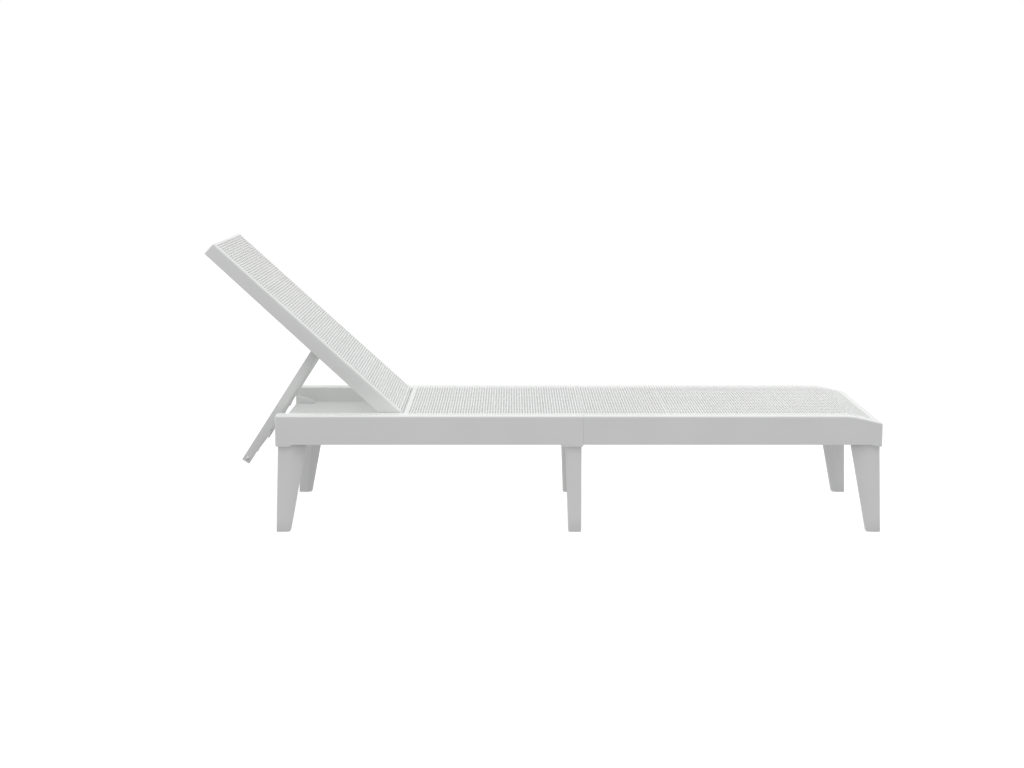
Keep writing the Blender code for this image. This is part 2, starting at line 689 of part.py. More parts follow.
# ---------------------------------------------------------------- pins, screws and bolts
def screw_stations(length):
    """A pan-head screw, head first, then its plain shank."""
    head = SCREW_HEAD_HEIGHT
    end = head + length
    stations = [(0, SCREW_HEAD_RADIUS * 0.7), (head * 0.4, SCREW_HEAD_RADIUS)]
    stations += [(head, SCREW_HEAD_RADIUS), (head, SCREW_RADIUS)]
    return stations + [(end - SCREW_POINT, SCREW_RADIUS), (end, SCREW_RADIUS * 0.3)]


def make_pins(steel, hinge_empty):
    for side, sign in SIDES.items():
        pin = bmesh.new()
        head = HINGE_PIN_HEAD_HEIGHT
        start_y = BACK_HALF - WALL - GAP - head
        length = RAIL_INSIDE + HINGE_PIN_TAIL - start_y
        stations = [(0, HINGE_PIN_HEAD_RADIUS), (head, HINGE_PIN_HEAD_RADIUS), (head, HINGE_PIN_RADIUS)]
        stations += [(length - HINGE_PIN_POINT, HINGE_PIN_RADIUS), (length, HINGE_PIN_RADIUS * 0.8)]
        add_turned(pin, stations, (0, sign * start_y, 0), (0, sign, 0))
        smooth_round(add_object(f"hinge_pin_{side}", pin, steel, hinge_empty))

        pivot = bmesh.new()
        head = PIVOT_PIN_HEAD_HEIGHT
        reach = ARM_THICKNESS / 2 + EAR_GAP + EAR_THICKNESS
        stations = [(0, PIVOT_PIN_HEAD_RADIUS), (head, PIVOT_PIN_HEAD_RADIUS), (head, PIVOT_PIN_RADIUS)]
        stations += [(head + 2 * reach + PIVOT_PIN_TAIL, PIVOT_PIN_RADIUS)]
        start = (-PROP_REACH, sign * (PROP_HALF_SPREAD - reach - GAP - head), PROP_PIVOT_Z)
        add_turned(pivot, stations, start, (0, sign, 0))
        smooth_round(add_object(f"prop_pivot_pin_{side}", pivot, steel, hinge_empty))


def make_frame_fasteners(steel, parent):
    for name, x, sign in screw_places():
        screw = bmesh.new()
        start = (x, sign * (BAY_HALF - GAP - SCREW_HEAD_HEIGHT), SCREW_Z)
        add_turned(screw, screw_stations(SCREW_LENGTH), start, (0, sign, 0))
        smooth_round(add_object(f"leg_screw_{name}", screw, steel, parent))

    thickness = 2 * WALL + GAP
    for number, y in enumerate(bolt_places(), 1):
        bolt = bmesh.new()
        head = BOLT_HEAD_HEIGHT
        stations = [(0, BOLT_HEAD_RADIUS * 0.8), (head * 0.4, BOLT_HEAD_RADIUS), (head, BOLT_HEAD_RADIUS)]
        stations += [(head, BOLT_RADIUS), (head + 2 * GAP + thickness + BOLT_TAIL, BOLT_RADIUS)]
        start_x = SEAM_X - WALL - GAP - head
        add_turned(bolt, stations, (start_x, y, BOLT_Z), (1, 0, 0))
        smooth_round(add_object(f"frame_bolt_{number}", bolt, steel, parent))

        nut = bmesh.new()
        nut_x = SEAM_X + GAP + WALL + GAP
        ring = arc((y, BOLT_Z), NUT_RADIUS, 0, 300, 5)
        near = [nut.verts.new((nut_x, a, b)) for a, b in ring]
        far = [nut.verts.new((nut_x + NUT_THICKNESS, a, b)) for a, b in ring]
        nut.faces.new(near)
        nut.faces.new(far)
        for k in range(6):
            j = (k + 1) % 6
            nut.faces.new((near[k], near[j], far[j], far[k]))
        item = add_object(f"frame_nut_{number}", nut, steel, parent)
        hole = bmesh.new()
        middle = (nut_x + NUT_THICKNESS / 2, y, BOLT_Z)
        round_holes(hole, [middle], (1, 0, 0), BOLT_RADIUS + GAP, 3 * NUT_THICKNESS)
        combine(item, "DIFFERENCE", hole, "thread_hole")


# ---------------------------------------------------------------- assembly
def empty(name, place, turn, parent=None):
    item = bpy.data.objects.new(name, None)
    item.location = place
    item.rotation_euler = (0, turn, 0)
    item.parent = parent
    bpy.context.scene.collection.objects.link(item)
    return item


def build():
    for item in list(bpy.data.objects):
        bpy.data.objects.remove(item, do_unlink=True)

    base = empty("lounger", (-ORIGIN_X, 0, 0), 0)
    hinge = empty("backrest_hinge", (HINGE_X, 0, HINGE_Z), RAISE_ANGLE, base)
    pivot_place = (-PROP_REACH, 0, PROP_PIVOT_Z)
    pivot = empty("prop_pivot", pivot_place, -PROP_ANGLE, hinge)

    make_head_half(plastic("frame_head_plastic", (0.80, 0.80, 0.79), 0.42), base)
    make_foot_half(plastic("frame_foot_plastic", (0.80, 0.80, 0.79), 0.42), base)
    leg_plastic = plastic("leg_plastic", (0.79, 0.79, 0.78), 0.45)
    for row in leg_places():
        for side in SIDES:
            make_leg(row, side, leg_plastic, base)
    make_backrest(plastic("backrest_plastic", (0.81, 0.81, 0.80), 0.42), hinge)
    steel = plastic("zinc_steel", (0.62, 0.62, 0.62), 0.35, 1.0)
    make_pins(steel, hinge)
    make_prop(plastic("prop_plastic", (0.76, 0.76, 0.75), 0.45), steel, pivot)
    make_frame_fasteners(steel, base)


build()
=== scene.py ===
"""Looks of the reclining sun lounger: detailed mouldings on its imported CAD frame.

Units are metres in the frame's own axes: +X towards the foot end, +Y to the lying person's
left, +Z up.  Mouldings of the frame are laid out from its head end; the backrest and the prop
are laid out flat along -X from their own hinge, and then turned to their place.
"""

import json
import math

import bmesh
import bpy
from mathutils import Matrix, Vector


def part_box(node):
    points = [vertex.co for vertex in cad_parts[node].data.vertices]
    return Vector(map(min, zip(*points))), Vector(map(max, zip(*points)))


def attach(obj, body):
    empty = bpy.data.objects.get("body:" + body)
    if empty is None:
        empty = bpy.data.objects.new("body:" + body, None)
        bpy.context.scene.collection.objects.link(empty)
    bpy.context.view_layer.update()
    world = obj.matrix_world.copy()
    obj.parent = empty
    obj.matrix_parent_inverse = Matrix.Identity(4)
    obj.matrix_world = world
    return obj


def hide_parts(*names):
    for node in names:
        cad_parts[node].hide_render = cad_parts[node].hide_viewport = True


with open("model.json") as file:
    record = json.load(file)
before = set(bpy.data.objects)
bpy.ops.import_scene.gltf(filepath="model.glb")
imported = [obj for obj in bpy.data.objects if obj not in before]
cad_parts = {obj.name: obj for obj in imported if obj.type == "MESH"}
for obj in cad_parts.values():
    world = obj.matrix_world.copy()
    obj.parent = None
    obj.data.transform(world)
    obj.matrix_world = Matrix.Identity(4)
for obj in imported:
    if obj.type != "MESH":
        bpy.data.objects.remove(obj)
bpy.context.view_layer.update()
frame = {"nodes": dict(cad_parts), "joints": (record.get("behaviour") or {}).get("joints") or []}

# ---------------------------------------------------------------- sizes taken from the frame
HEAD_LOW, HEAD_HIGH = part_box("frame_head_half")
FOOT_LOW, FOOT_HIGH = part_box("frame_foot_half")
HEAD_X = HEAD_LOW.x
LENGTH = FOOT_HIGH.x - HEAD_X
HALF_WIDTH = FOOT_HIGH.y
DECK = FOOT_HIGH.z
COLLAR_BOTTOM = HEAD_LOW.z
SEAM = HEAD_HIGH.x - HEAD_X
FOOT_START = FOOT_LOW.x - HEAD_X
BACK_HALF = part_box("backrest_panel")[1].y
JOINTS = {joint["name"]: joint for joint in frame["joints"]}
HINGE = Vector(JOINTS["backrest_hinge"]["pos_m"])
PIVOT = Vector(JOINTS["prop_hinge"]["pos_m"])
RAISED = math.radians(-JOINTS["backrest_hinge"]["range_deg"][0])
PROP_TURN = math.radians(JOINTS["prop_hinge"]["range_deg"][1])

# ---------------------------------------------------------------- frame mouldings
WALL = 0.0035
COLLAR_DROP = 0.005
HEAD_DIP = (0.035, 0.009)
FOOT_DIP = (0.037, 0.030)
DIP_RADIUS = 0.003
APRON_BOTTOM = COLLAR_BOTTOM + COLLAR_DROP
BORDER = 0.055
BAY_HALF = HALF_WIDTH - BORDER
SHELF = DECK - 0.040
SEAT_START = 0.327
EDGE_RADIUS = 0.004
EDGE_LEAD = 0.002
EDGE_STEPS = 5
CORNER_RADIUS = 0.009
FOOT_SLOPE = math.radians(13.5)
FOOT_CURVE_RADIUS = 0.19
FOOT_SLOPE_LENGTH = 0.056
BEAD_WIDTH = 0.008
BEAD_HEIGHT = 0.0029
BEAD_STEPS = 8
RIB_DEPTH = 0.020
RIB_SPACING = 0.115
RIB_THICKNESS = 0.7 * WALL
OVERLAP = 0.0003
BURIED = 0.0004
SOCKET_ROOM = 0.0011
COLLAR_LENGTH = 0.0548
COLLAR_RADIUS = 0.0035
GROOVE = (0.0120, 0.0135, 0.0165, 0.0180)
GROOVE_DEPTH = 0.0006
DASH_ROW = (0.0195, 0.0375)
LATTICE_MARGIN = 0.0470
COLUMNS = 18
SEAT_ROWS = 65
FOOT_ROWS = 107
FOOT_PLAIN_END = 0.020
FOOT_PLAIN_STEPS = 18
BAY_DASHES = (36, 3)
HEAD_STATIONS = (0.014, 0.024, 0.033, 0.035, 0.037, 0.0395, 0.042, 0.044, 0.060)
LATTICE_START = SEAT_START + BEAD_WIDTH + 0.002
PITCH = (SEAM - LATTICE_START) / SEAT_ROWS
SLOT_WIDTH = 0.0040
SLOT_BRIDGE = 0.0032
DASH_LENGTH = 0.0140
DASH_DEPTH = 0.0012
SLOT_ROUND = 0.0012
BAND_ROWS = 4
BAND_RECESS = 0.0003

# ---------------------------------------------------------------- legs
LEG_INSET = 0.005
LEG_DEPTH = (0.044, 0.036)
CORNER_LEG = (0.0724, 0.0348)
CORNER_LEG_INSET = (0.007, 0.0)
CORNER_LEG_FLAT = (0.031, 0.020)
MIDDLE_LEG = (0.0412, 0.0328)
MIDDLE_LEG_CHAMFER = 0.008
MIDDLE_LEG_GAP = 0.0008
LEG_RADIUS = 0.0022
TENON_HEIGHT = 0.030
TENON_INSET = 0.0014
LEG_CREASE = 24

# ---------------------------------------------------------------- backrest
BACK_LENGTH = 0.640
COVER = 0.0255
SKIRT_AT_HINGE = 0.0454
SKIRT_AT_TIP = 0.0360
BACK_EDGE = 0.0055
BACK_BORDER = 0.0160
BACK_COLUMNS = 17
BACK_ROWS = 91
NOSE_ROWS = 3
TIP_MARGIN = 0.0085
PROP_REACH = 0.2661
PIVOT_HEIGHT = 0.008
HALF_SPREAD = 0.205
EAR_THICKNESS = 0.005
EAR_GAP = 0.0006
EAR_RADIUS = 0.009
EAR_BEVEL = 0.0006
BACK_RIB_DEPTH = 0.014
BACK_RIB_MARGIN = 0.018
BACK_RIBS_START = 0.055
BACK_RIBS_END = -0.004

# ---------------------------------------------------------------- prop
PROP_LENGTH = 0.3606
ARM_DEPTH = 0.022
ARM_THICKNESS = 0.012
TOOTH_PITCH = 0.035
TOOTH_HEIGHT = 0.0025
TOOTH_LENGTH = 0.016
TIE_DEPTH = 0.020
TIE_THICKNESS = 0.016
ARM_BEVEL = 0.0011
TIE_BEVEL = 0.0018
TEETH = 4
GAP = 0.0003

# ---------------------------------------------------------------- brackets the prop stands on
BRACKET_LENGTH = 0.051
BRACKET_FALL = 0.0125
BRACKET_LEVEL = 0.006
BRACKET_WIDTH = 0.018
BRACKET_BEVEL = 0.0010

# ---------------------------------------------------------------- plastic colours
FRAME_COLOUR = (0.83, 0.84, 0.83)
PROP_COLOUR = (0.80, 0.81, 0.80)
MATT = 0.44

# ---------------------------------------------------------------- studio
DOME_BASE = 0.47
DOME = (((1, 0, 0), 0.15), ((-1, 0, 0), 0.30), ((0, 1, 0), 0.35), ((0, 0, 1), 0.20), ((0, 0, -1), -0.25))
KEY_STRENGTH = 1.1
KEY_ANGLE = math.radians(35)
KEY_FROM = (0.15, -0.20, 0.97)
FLOOR_GLOW = 0.88
FLOOR_REACH = 30.0
CAMERA_LENS = 67.08
CAMERA_AWAY = (0.6047, -5.0866, 1.0441)
CAMERA_DIP = 7.832


# ---------------------------------------------------------------- mesh building
class Shell:
    """Points and faces of one piece, gathered before its mesh is made."""

    def __init__(self):
        self.points = []
        self.faces = []

    def point(self, place):
        self.points.append(tuple(place))
        return len(self.points) - 1

    def face(self, *corners):
        self.faces.append(corners)

    def loop(self, places):
        return [self.point(place) for place in places]

    def band(self, first, second):
        """Quads between two closed loops of the same length."""
        for k in range(len(first)):
            j = (k + 1) % len(first)
            self.face(first[k], first[j], second[j], second[k])

    def strip(self, first, second):
        """Quads between two open lines of the same length."""
        for k in range(len(first) - 1):
            self.face(first[k], first[k + 1], second[k + 1], second[k])

    def prism(self, outline, low_y, high_y):
        """Closed prism with an (x, z) outline between two y planes."""
        near = self.loop((x, low_y, z) for x, z in outline)
        far = self.loop((x, high_y, z) for x, z in outline)
        self.face(*near)
        self.face(*far)
        self.band(near, far)

    def box(self, x_range, y_range, z_range):
        (x0, x1), (z0, z1) = x_range, z_range
        self.prism([(x0, z0), (x1, z0), (x1, z1), (x0, z1)], *sorted(y_range))


def make_piece(name, shell, material, body, replaced, place, crease=48):
    """Turn a shell into a finished object that rides on a body and stands for CAD nodes."""
    mesh = bpy.data.meshes.new(name)
    mesh.from_pydata(shell.points, [], shell.faces)
    bm = bmesh.new()
    bm.from_mesh(mesh)
    bmesh.ops.remove_doubles(bm, verts=bm.verts, dist=1e-6)
    bmesh.ops.dissolve_degenerate(bm, edges=bm.edges, dist=1e-7)
    bmesh.ops.recalc_face_normals(bm, faces=bm.faces)
    bm.to_mesh(mesh)
    bm.free()
    mesh.transform(place)
    mesh.shade_smooth()
    mesh.set_sharp_from_angle(angle=math.radians(crease))
    mesh.materials.append(material)
    piece = bpy.data.objects.new(name, mesh)
    bpy.context.scene.collection.objects.link(piece)
    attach(piece, body)
    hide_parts(*replaced)


def bevelled_prism(shell, outline, low_y, high_y, radius, segments=2):
    """Add a prism with rounded edges, its outline given as (x, z) points."""
    bm = bmesh.new()
    near = [bm.verts.new((x, low_y, z)) for x, z in outline]
    far = [bm.verts.new((x, high_y, z)) for x, z in outline]
    bm.faces.new(near)
    bm.faces.new(far)
    for k in range(len(outline)):
        j = (k + 1) % len(outline)
        bm.faces.new((near[k], near[j], far[j], far[k]))
    bmesh.ops.recalc_face_normals(bm, faces=bm.faces)
    sharp = [e for e in bm.edges if e.calc_face_angle(0) > math.radians(30)]
    bmesh.ops.bevel(bm, geom=sharp, offset=radius, segments=segments, affect="EDGES", profile=0.5)
    add_bmesh(shell, bm)


def add_bmesh(shell, bm):
    """Move a bmesh's faces into a shell."""
    bm.verts.ensure_lookup_table()
    start = len(shell.points)
    for vert in bm.verts:
        vert.index = shell.point(vert.co) - start
    for face in bm.faces:
        shell.face(*[start + vert.index for vert in face.verts])
    bm.free()


def arc(centre, radius, start, end, steps):
    """Points of an arc in a plane; angles in degrees from the first axis to the second."""
    points = []
    for k in range(steps + 1):
        turn = math.radians(start + (end - start) * k / steps)
        points.append((centre[0] + radius * math.cos(turn), centre[1] + radius * math.sin(turn)))
    return points


def smoothstep(value):
    value = min(1.0, max(0.0, value))
    return value * value * (3 - 2 * value)


def round_drop(radius, inside):
    """How far a rounded edge falls away, at a distance inside its end."""
    if inside >= radius:
        return 0.0
    return radius - math.sqrt(max(0.0, radius ** 2 - (radius - inside) ** 2))


# ---------------------------------------------------------------- slotted sheets
def slot_loop(across, along, size):
    """Outline of a slot with rounded ends in a unit cell, as fractions (u, v)."""
    u0, u1 = 0.5 - across / size[0] / 2, 0.5 + across / size[0] / 2
    v0, v1 = 0.5 - along / size[1] / 2, 0.5 + along / size[1] / 2
    end = across * 0.34 / size[1]
    side = (u1 - u0) * 0.29
    return [(u0, v0 + end), (u0, v1 - end), (u0 + side, v1), (u1 - side, v1),
            (u1, v1 - end), (u1, v0 + end), (u1 - side, v0), (u0 + side, v0)]


def slotted_cell(shell, above, below, length, depth):
    """One cell of a sheet with a round-edged slot: through it if depth is WALL, else a shallow pit."""
    upper = [Vector(shell.points[k]) for k in above]
    lower = [Vector(shell.points[k]) for k in below]
    size = ((upper[1] - upper[0]).length, (upper[3] - upper[0]).length)

    def place(u, v, down):
        top = upper[0].lerp(upper[1], u).lerp(upper[3].lerp(upper[2], u), v)
        bottom = lower[0].lerp(lower[1], u).lerp(lower[3].lerp(lower[2], u), v)
        return top.lerp(bottom, down / WALL)

    radius = min(SLOT_ROUND, depth / 2)
    rings = []
    for outward, down in ((radius, 0), (0.293 * radius, 0.293 * radius), (0, radius), (0, depth)):
        outline = slot_loop(SLOT_WIDTH + 2 * outward, length + 2 * outward, size)
        rings.append(shell.loop(place(u, v, down) for u, v in outline))
    for first, second in zip(rings, rings[1:]):
        shell.band(first, second)
    pierced = [(above, rings[0])]
    if depth < WALL:
        shell.face(*rings[-1])
        shell.face(*below)
    else:
        pierced.append((below, rings[-1]))
    for corners, ring in pierced:
        c00, c10, c11, c01 = corners
        shell.face(c00, c01, ring[1], ring[0])
        shell.face(c01, ring[2], ring[1])
        shell.face(c01, c11, ring[3], ring[2])
        shell.face(c11, ring[4], ring[3])
        shell.face(c11, c10, ring[5], ring[4])
        shell.face(c10, ring[6], ring[5])
        shell.face(c10, c00, ring[7], ring[6])
        shell.face(c00, ring[0], ring[7])


def slotted_sheet(shell, top, under, slot):
    """Both skins of a thick sheet, from two grids of points; slot(i, j) is a cell's slot length and depth."""
    upper = [shell.loop(row) for row in top]
    lower = [shell.loop(row) for row in under]
    for i in range(len(top) - 1):
        for j in range(len(top[0]) - 1):
            above = (upper[i][j], upper[i + 1][j], upper[i + 1][j + 1], upper[i][j + 1])
            below = (lower[i][j], lower[i + 1][j], lower[i + 1][j + 1], lower[i][j + 1])
            length, depth = slot(i, j)
            if length:
                slotted_cell(shell, above, below, length, depth)
            else:
                shell.face(*above)
                shell.face(*below)
    return upper, lower


def close_sides(shell, upper, lower):
    for edge in (0, -1):
        shell.strip([row[edge] for row in upper], [row[edge] for row in lower])


# ---------------------------------------------------------------- frame surface
def deck_height(x):
    """Height of the deck's top: level, then curving down to the foot end."""
    curve_end = LENGTH - FOOT_SLOPE_LENGTH
    curve_start = curve_end - FOOT_CURVE_RADIUS * math.sin(FOOT_SLOPE)
    if x <= curve_start:
        return DECK
    if x <= curve_end:
        return DECK - FOOT_CURVE_RADIUS + math.sqrt(FOOT_CURVE_RADIUS ** 2 - (x - curve_start) ** 2)
    return DECK - FOOT_CURVE_RADIUS * (1 - math.cos(FOOT_SLOPE)) - (x - curve_end) * math.tan(FOOT_SLOPE)


def apron_bottom(x):
    """Lower edge of the apron, which dips in a soft S into the collars of the end legs."""
    head = 1 - smoothstep((x - HEAD_DIP[0]) / HEAD_DIP[1])
    foot = smoothstep((x - LENGTH + FOOT_DIP[0]) / FOOT_DIP[1])
    lifted = round_drop(DIP_RADIUS, x) + round_drop(DIP_RADIUS, LENGTH - x)
    return APRON_BOTTOM - COLLAR_DROP * max(head, foot) + lifted * 0.6


def apron_side(x):
    """Half width of the frame at x: rounded end corners, and a recessed band at the seam."""
    in_band = SEAM - (BAND_ROWS + 0.5) * PITCH < x < SEAM + 0.0002
    recess = BAND_RECESS if in_band else 0.0
    return HALF_WIDTH - recess - round_drop(CORNER_RADIUS, x) - round_drop(CORNER_RADIUS, LENGTH - x)


def groove_depth(edge_distance, x):
    """Depth of the shallow groove that follows the frame's long edges and its foot end."""
    inside = min(edge_distance, LENGTH - x)
    start, floor_start, floor_end, end = GROOVE
    if inside <= start or inside >= end:
        return 0.0
    if inside < floor_start:
        return GROOVE_DEPTH * (inside - start) / (floor_start - start)
    if inside > floor_end:
        return GROOVE_DEPTH * (end - inside) / (end - floor_end)
    return GROOVE_DEPTH


def side_line(x):
    """Outer and inner points (y, z) from the apron's lower edge to the border's inner edge."""
    side, bottom = apron_side(x), apron_bottom(x)
    top = deck_height(x) - round_drop(EDGE_RADIUS, x) - round_drop(EDGE_RADIUS, LENGTH - x)
    centre = (side - EDGE_RADIUS, top - EDGE_RADIUS)
    inner_radius = EDGE_RADIUS - WALL
    low = centre[1] - EDGE_LEAD
    outer = [(side, bottom), (side, low), *arc(centre, EDGE_RADIUS, 0, 90, EDGE_STEPS)]
    inner = [(side - WALL, bottom), (side - WALL, low), *arc(centre, inner_radius, 0, 90, EDGE_STEPS)]
    lines = [EDGE_RADIUS + EDGE_LEAD, *GROOVE, *DASH_ROW, LATTICE_MARGIN]
    for distance in lines:
        share = (distance - EDGE_RADIUS) / (LATTICE_MARGIN - EDGE_RADIUS)
        y = centre[0] + (HALF_WIDTH - LATTICE_MARGIN - centre[0]) * share
        z = top - groove_depth(HALF_WIDTH - y, x)
        outer.append((y, z))
        inner.append((y, z - WALL))
    return outer, inner, top


def frame_row(x, inner_x, kind, lift=0.0):
    """One cross-section of the frame: top points and under points, right side to left."""
    outer, inner, top = side_line(x)
    inner_side = side_line(inner_x)[1]
    half = HALF_WIDTH - LATTICE_MARGIN
    middle_top, middle_under = [], []
    if kind == "deck":
        for k in range(1, COLUMNS):
            y = -half + 2 * half * k / COLUMNS
            middle_top.append((y, top + lift))
            middle_under.append((y, deck_height(inner_x) - WALL))
    else:
        wall_in = BAY_HALF + WALL
        inner_side = inner_side[:-1] + [(wall_in + 0.001, inner_side[-1][1])]
        edge = [(BAY_HALF + 0.0008, top - 0.0005), (BAY_HALF, top - 0.0025), (BAY_HALF, SHELF + 0.003),
                (BAY_HALF - 0.0009, SHELF + 0.0009), (BAY_HALF - 0.003, SHELF)]
        edge_under = [(wall_in, top - WALL - 0.001), (wall_in, top - WALL - 0.003), (wall_in, SHELF),
                      (wall_in, SHELF - WALL), (BAY_HALF - 0.003, SHELF - WALL)]
        flat = COLUMNS - 1 - 2 * len(edge)
        reach = edge[-1][0]
        spread = [-reach + 2 * reach * (k + 1) / (flat + 1) for k in range(flat)]
        middle_top = [(-y, z) for y, z in edge] + [(y, SHELF) for y in spread] + edge[::-1]
        middle_under = [(-y, z) for y, z in edge_under]
        middle_under += [(y, SHELF - WALL) for y in spread] + edge_under[::-1]

    def across(side, middle, at_x):
        right = [(at_x, -y, z) for y, z in side]
        left = [(at_x, y, z) for y, z in side[::-1]]
        return right + [(at_x, y, z) for y, z in middle] + left

    return across(outer, middle_top, x), across(inner_side, middle_under, inner_x)


SIDE_POINTS = 2 + (EDGE_STEPS + 1) + 1 + len(GROOVE) + len(DASH_ROW) + 1
DASH_CELL = SIDE_POINTS - 3
COLUMN_WIDTH = 2 * (HALF_WIDTH - LATTICE_MARGIN) / COLUMNS


def rounding_stations(radius, steps=6):
    """Distances from an end at which its rounding is cut into steps."""
    return [radius * (1 - math.cos(math.pi / 2 * k / steps)) for k in range(steps + 1)]


def slots_of(kinds):
    """Slot length of cell (i, j) from each row gap's kind: plain, dash or slots."""
    count = 2 * SIDE_POINTS + COLUMNS - 1
    dashes = (DASH_CELL, count - 2 - DASH_CELL)

    def length(i, j):
        if kinds[i] == "plain":
            return 0, 0
        if j in dashes:
            return DASH_LENGTH, DASH_DEPTH
        in_lattice = SIDE_POINTS - 1 <= j < SIDE_POINTS - 1 + COLUMNS
        if kinds[i] == "slots" and in_lattice:
            return COLUMN_WIDTH - SLOT_BRIDGE, WALL
        return 0, 0

    return length


def close_bottom_end(shell, upper, lower):
    """Close an end of the frame with its outer and inner wall and the edge between them."""
    shell.face(*upper)
    shell.face(*lower)
    shell.face(upper[0], upper[-1], lower[-1], lower[0])


def rail_walls(shell, x0, x1, top):
    """Inner walls of both rails, from the apron's lower edge up to the deck or shelf."""
    for sign in (-1, 1):
        shell.box((x0, x1), (sign * BAY_HALF, sign * (BAY_HALF + WALL)), (APRON_BOTTOM, top))


def ribs(shell, x0, x1):
    """Cross ribs and long ribs under the deck between the rails."""
    columns = max(1, round((x1 - x0) / RIB_SPACING))
    rows = max(1, round(2 * BAY_HALF / RIB_SPACING))
    column = (x1 - x0 + WALL) / columns
    row = (2 * BAY_HALF + WALL) / rows
    for i in range(1, columns):
        x = x0 + i * column - WALL
        z = deck_height(x + WALL) - WALL
        shell.box((x, x + RIB_THICKNESS), (-BAY_HALF, BAY_HALF), (z - RIB_DEPTH, z + BURIED))
    line = [x0 + (x1 - x0) * k / 24 for k in range(25)]
    for j in range(1, rows):
        y = -BAY_HALF + j * row - WALL
        low = [(x, deck_height(x) - WALL - RIB_DEPTH) for x in line]
        high = [(x, deck_height(x) - WALL + OVERLAP) for x in line[::-1]]
        shell.prism(low + high, y, y + RIB_THICKNESS)


def middle_collar(shell):
    """The collar that hangs below the apron at a middle leg, on both sides."""
    x0, x1 = SEAM - COLLAR_LENGTH, SEAM
    r = COLLAR_RADIUS
    outline = [(x0, APRON_BOTTOM), (x1, APRON_BOTTOM)]
    outline += arc((x1 - r, COLLAR_BOTTOM + r), r, 0, -90, 4)
    outline += arc((x0 + r, COLLAR_BOTTOM + r), r, -90, -180, 4)
    side = HALF_WIDTH - BAND_RECESS
    for sign in (-1, 1):
        shell.prism(outline, *sorted((sign * side, sign * (side - WALL))))


def leg_span(row):
    """The x limits of a row of legs, at their top and at the floor."""
    corner = list(zip(CORNER_LEG_INSET, CORNER_LEG))
    if row == "head":
        return [(inset, inset + size) for inset, size in corner]
    if row == "foot":
        return [(LENGTH - inset - size, LENGTH - inset) for inset, size in corner]
    end = SEAM - WALL - GAP - MIDDLE_LEG_GAP
    return [(end - size, end) for size in MIDDLE_LEG]


def sockets(shell, walls):
    """Cross walls inside both rails, which hold the legs' tenons."""
    for x in walls:
        for sign in (-1, 1):
            y_range = (sign * (BAY_HALF + WALL - BURIED), sign * (HALF_WIDTH - WALL + BURIED))
            shell.box((x, x + WALL), y_range, (APRON_BOTTOM, deck_height(x + WALL) - WALL + BURIED))


def make_head_half(material):
    shell = Shell()
    rows, kinds = [], []

    def add(x, kind, inner_x=None, lift=0.0, gap="plain"):
        if rows:
            kinds.append(gap)
        rows.append(frame_row(x, x if inner_x is None else inner_x, kind, lift))

    for x in rounding_stations(CORNER_RADIUS):
        add(x, "bay", max(x, WALL))
    for x in HEAD_STATIONS:
        add(x, "bay")
    add(LATTICE_START - BAY_DASHES[0] * PITCH, "bay")
    for k in range(BAY_DASHES[0] - 1, BAY_DASHES[1] - 1, -1):
        add(LATTICE_START - k * PITCH, "bay", gap="dash")
    wall_x = SEAT_START + WALL
    add(SEAT_START, "bay", wall_x)
    add(SEAT_START, "deck", wall_x)
    for k in range(1, BEAD_STEPS):
        share = k / BEAD_STEPS
        x = SEAT_START + BEAD_WIDTH * (1 - math.cos(math.pi * share)) / 2
        add(x, "deck", max(x, wall_x), BEAD_HEIGHT * math.sin(math.pi * share))
    add(SEAT_START + BEAD_WIDTH, "deck")
    add(LATTICE_START, "deck")
    for k in range(1, SEAT_ROWS + 1):
        add(LATTICE_START + k * PITCH, "deck", gap="slots")
    upper, lower = slotted_sheet(shell, [r[0] for r in rows], [r[1] for r in rows], slots_of(kinds))
    close_sides(shell, upper, lower)
    close_bottom_end(shell, upper[0], lower[0])
    shell.strip(upper[-1], lower[-1])

    head, middle = leg_span("head"), leg_span("middle")
    rail_walls(shell, WALL, wall_x, SHELF - WALL + OVERLAP)
    rail_walls(shell, wall_x, SEAM - WALL, DECK - WALL + OVERLAP)
    shell.box((SEAT_START, wall_x), (-BAY_HALF, BAY_HALF), (APRON_BOTTOM, SHELF - WALL + OVERLAP))
    inner = HALF_WIDTH - WALL
    shell.box((SEAM - WALL, SEAM), (-inner, inner), (APRON_BOTTOM, DECK - WALL + OVERLAP))
    sockets(shell, (head[0][1] + SOCKET_ROOM, middle[0][0] - SOCKET_ROOM - WALL))
    ribs(shell, wall_x, SEAM - WALL)
    middle_collar(shell)
    brackets(shell)
    make_piece("frame_head_moulding", shell, material, "frame", ["frame_head_half"],
               Matrix.Translation((HEAD_X, 0, 0)))


def bracket_height():
    """Top of the head-end brackets, just under the prop arms that stand on them."""
    lean = PROP_TURN - RAISED
    edge_x = PIVOT.x - HEAD_X + ARM_DEPTH / 2 * math.sin(lean)
    edge_z = PIVOT.z - ARM_DEPTH / 2 * math.cos(lean)
    return edge_z - edge_x * math.tan(lean) - 2 * GAP


def brackets(shell):
    """Two wedge brackets on the shelf at its head end, which the prop's arms stand on."""
    top = bracket_height()
    foot = SHELF - WALL / 2
    wedge = [(BURIED, foot), (BRACKET_LENGTH, foot), (BRACKET_LENGTH, top - BRACKET_FALL)]
    wedge += [(BRACKET_LEVEL, top), (BURIED, top)]
    for sign in (-1, 1):
        middle = sign * HALF_SPREAD
        half = BRACKET_WIDTH / 2
        bevelled_prism(shell, wedge, middle - half, middle + half, BRACKET_BEVEL)


